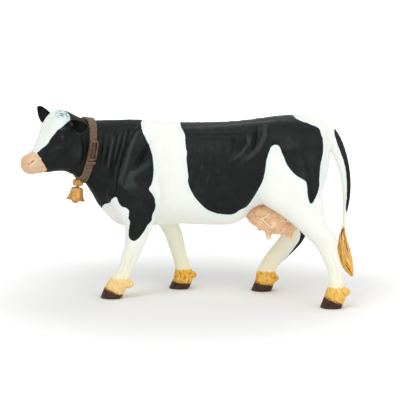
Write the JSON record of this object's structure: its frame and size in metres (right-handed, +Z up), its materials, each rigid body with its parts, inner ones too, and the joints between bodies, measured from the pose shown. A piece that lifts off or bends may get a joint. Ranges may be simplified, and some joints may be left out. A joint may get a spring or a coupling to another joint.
{
  "type": "toy cow figure",
  "caption": "Walking black-and-white dairy cow toy figure, head turned aside, with a brown collar and a small gold bell that swings.",
  "frame": {"origin": "middle of the figure's footprint box, on the floor", "axes": "+Z up; the cow faces -X; its own left side is towards -Y"},
  "size_m": [0.1388, 0.0494, 0.0822],
  "materials": {
    "dark_coat": "satin paint, black with white patches",
    "light_coat": "satin paint, white shading to cream, ochre over the hooves",
    "core_grey": "bare moulded plastic",
    "hoof_brown": "satin paint",
    "udder_pink": "satin paint with lighter veins",
    "switch_ochre": "satin paint with dark strand lines",
    "eye_black": "gloss",
    "strap_brown": "leather look, painted",
    "buckle_red": "satin paint",
    "bell_gold": "gold paint with a brown wash"
  },
  "bodies": {
    "figure": {"torso_left_shell": "dark_coat", "torso_right_shell": "dark_coat", "torso_core": "core_grey", "head": "dark_coat", "left_ear": "dark_coat", "right_ear": "dark_coat", "left_eye": "eye_black", "right_eye": "eye_black", "left_front_leg": "light_coat", "right_front_leg": "light_coat", "left_rear_leg": "light_coat", "right_rear_leg": "light_coat", "left_front_hoof": "hoof_brown", "right_front_hoof": "hoof_brown", "left_rear_hoof": "hoof_brown", "right_rear_hoof": "hoof_brown", "udder": "udder_pink", "tail": "light_coat", "tail_switch": "switch_ochre", "collar_strap": "strap_brown", "collar_buckle": "buckle_red", "collar_keeper": "buckle_red", "bell_hanger": "bell_gold", "bell_pin": "bell_gold"},
    "bell": {"bell": "bell_gold", "bell_clapper": "bell_gold"}
  },
  "joints": [
    {"name": "bell_swing", "type": "hinge", "parent": "figure", "child": "bell", "pos_m": [-0.0489, -0.00362, 0.04843], "axis": [0.6548, -0.7558, 0], "range_deg": [-15, 30]}
  ]
}
